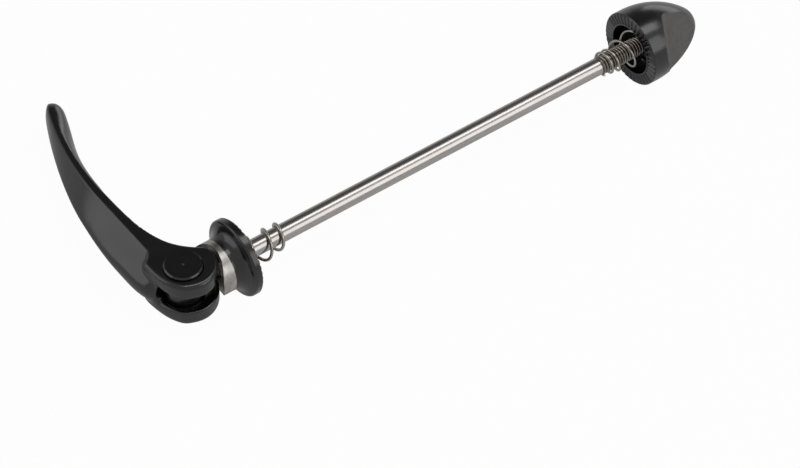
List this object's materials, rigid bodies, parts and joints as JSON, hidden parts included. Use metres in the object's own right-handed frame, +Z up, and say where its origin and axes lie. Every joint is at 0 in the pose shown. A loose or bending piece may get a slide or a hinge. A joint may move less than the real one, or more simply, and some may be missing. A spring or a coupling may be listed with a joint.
{
  "type": "quick release skewer",
  "caption": "Bicycle wheel skewer: a cam lever with a curved handle, a toothed clamp cup, conical springs and an adjusting nut with finger flats on a threaded rod.",
  "frame": {"origin": "where the rod's axis crosses the clamping face of the cup", "axes": "+X along the rod from the lever to the nut, +Z up from the surface it lies on, the closed handle points to +Y"},
  "size_m": [0.1665, 0.0775, 0.0202],
  "materials": {
    "black_alloy": "black anodised, satin gloss",
    "black_steel": "blackened, satin",
    "washer_steel": "satin plated",
    "rod_steel": "polished, drawn along its length",
    "spring_wire": "bright drawn wire",
    "black_nylon": "moulded, matte"
  },
  "bodies": {
    "rod": {"skewer_rod": "rod_steel", "pivot_barrel": "black_steel"},
    "lever": {"lever": "black_alloy"},
    "cup": {"cam_washer": "washer_steel", "clamp_cup": "black_alloy", "lever_spring": "spring_wire"},
    "nut_carriage": {"nut_spring": "spring_wire"},
    "nut": {"adjusting_nut": "black_alloy", "nut_lock_ring": "black_nylon"}
  },
  "joints": [
    {"name": "lever_pivot", "type": "hinge", "parent": "rod", "child": "lever", "pos_m": [-0.01623, 0, 0], "axis": [0, 0.097, 0.9953], "range_deg": [0, 120]},
    {"name": "cup_slide", "type": "slide", "parent": "rod", "child": "cup", "axis": [1, 0, 0], "range_m": [-0.00198, 0.00005]},
    {"name": "nut_travel", "type": "slide", "parent": "rod", "child": "nut_carriage", "axis": [1, 0, 0], "range_m": [-0.0032, 0.0032]},
    {"name": "nut_turn", "type": "hinge", "parent": "nut_carriage", "child": "nut", "pos_m": [0.12, 0, 0], "axis": [1, 0, 0], "range_deg": [-1445, 1445]}
  ],
  "couplings": [
    {"joint": "cup_slide", "follows": "lever_pivot", "m_per_rad": -0.0009231},
    {"joint": "nut_turn", "follows": "nut_travel", "rad_per_m": 7854}
  ]
}
